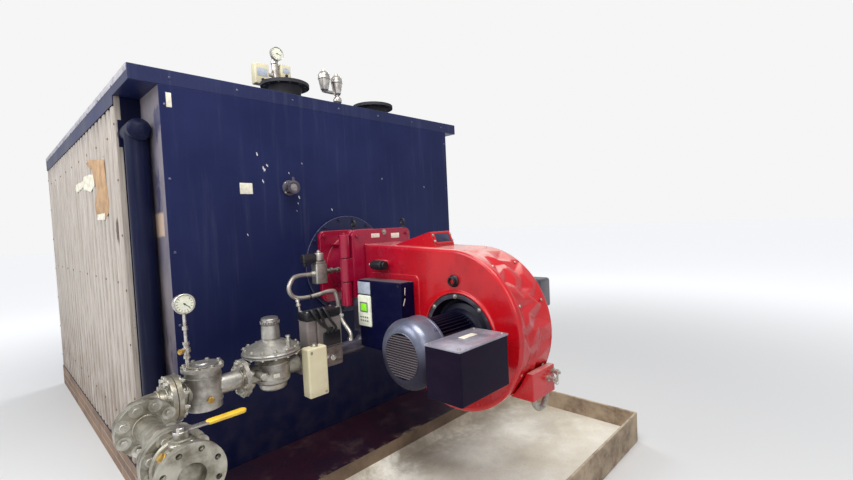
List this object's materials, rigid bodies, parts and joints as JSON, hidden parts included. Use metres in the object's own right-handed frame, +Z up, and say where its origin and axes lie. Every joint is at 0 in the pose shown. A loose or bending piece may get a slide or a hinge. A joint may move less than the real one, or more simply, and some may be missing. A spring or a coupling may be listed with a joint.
{
  "type": "industrial boiler",
  "caption": "Box-shaped industrial hot-water boiler with corrugated side cladding, a forced-draught gas burner with fan and motor, a gas train and a concrete plinth with a drip tray.",
  "frame": {"origin": "on the floor, below the middle of the boiler's front panel", "axes": "+Z up, +X to the right as seen from the front, +Y from the front panel towards the rear; the burner sticks out towards -Y"},
  "size_m": [2.7379, 5.21, 2.9199],
  "materials": {
    "concrete": "rough",
    "rim_brown": "rough",
    "core_dark": "matte",
    "cladding_cream": "satin",
    "navy_paint": "satin",
    "side_grey": "satin",
    "door_navy": "satin",
    "red_paint": "gloss",
    "crimson_paint": "gloss",
    "black_metal": "satin",
    "charcoal_metal": "satin",
    "motor_blue": "satin",
    "cowl_grey": "satin",
    "cast_alloy": "satin",
    "beige_plastic": "satin",
    "cream_plastic": "satin",
    "hose_grey": "matte",
    "lever_yellow": "satin"
  },
  "bodies": {
    "boiler": {"plinth": "concrete", "tray_floor": "concrete", "tray_rim": "rim_brown", "boiler_casing": "core_dark", "cladding_left": "cladding_cream", "cladding_right": "cladding_cream", "corner_flashings": "cladding_cream", "end_walls": "navy_paint", "roof_cap": "navy_paint", "front_box": "side_grey", "front_panel": "navy_paint", "downcomers": "navy_paint", "header_collars": "navy_paint", "peephole": "charcoal_metal", "burner_door": "door_navy", "swing_flange": "crimson_paint", "hinge_pin": "crimson_paint", "lifting_eyes": "black_metal", "fan_housing": "red_paint", "window_hood": "red_paint", "motor_ring": "charcoal_metal", "motor_body": "motor_blue", "motor_cowl": "cowl_grey", "inverter": "charcoal_metal", "control_box": "black_metal", "display_unit": "cream_plastic", "flame_sensor": "black_metal", "sight_plug": "charcoal_metal", "intake_box": "charcoal_metal", "drain_foot": "red_paint", "hose_loop": "hose_grey", "gas_inlet_valve": "cast_alloy", "gas_inlet_elbow": "cast_alloy", "gas_filter": "cast_alloy", "gas_gauge": "cast_alloy", "gas_regulator": "cast_alloy", "gas_valve_block": "cast_alloy", "gas_actuator": "beige_plastic", "gas_riser": "charcoal_metal", "pilot_valve": "cast_alloy", "flow_nozzle": "charcoal_metal", "return_nozzle": "charcoal_metal", "instrument_stand": "cast_alloy", "flue_outlet": "charcoal_metal"},
    "gas_lever": {"gas_lever": "lever_yellow"}
  },
  "joints": [
    {"name": "gas_lever_turn", "type": "hinge", "parent": "boiler", "child": "gas_lever", "pos_m": [-1.402, -1.07, 0.9463], "axis": [0, 0, 1], "range_deg": [0, 90]}
  ]
}
